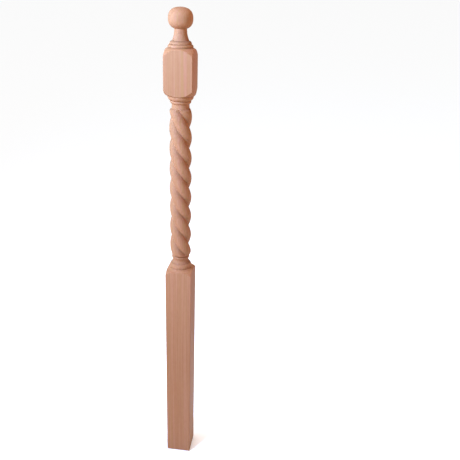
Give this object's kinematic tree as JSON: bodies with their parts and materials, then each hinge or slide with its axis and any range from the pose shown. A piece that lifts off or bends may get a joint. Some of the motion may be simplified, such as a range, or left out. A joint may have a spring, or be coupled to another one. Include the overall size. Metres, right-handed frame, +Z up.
{
  "type": "barley twist newel post",
  "caption": "Tall square wooden stair post with a rope-twist turned middle, ringed collars and a ball top on a short waisted neck.",
  "frame": {"origin": "middle of the post's square foot, on its flat lower end", "axes": "+Z up along the post towards the ball; X and Y square to the flat faces, with -Y the face seen in the picture"},
  "size_m": [0.0826, 0.0826, 1.524],
  "materials": {
    "bare_wood": "bare, sanded smooth, satin-matt"
  },
  "bodies": {
    "root": {"newel_post": "bare_wood"}
  },
  "joints": []
}
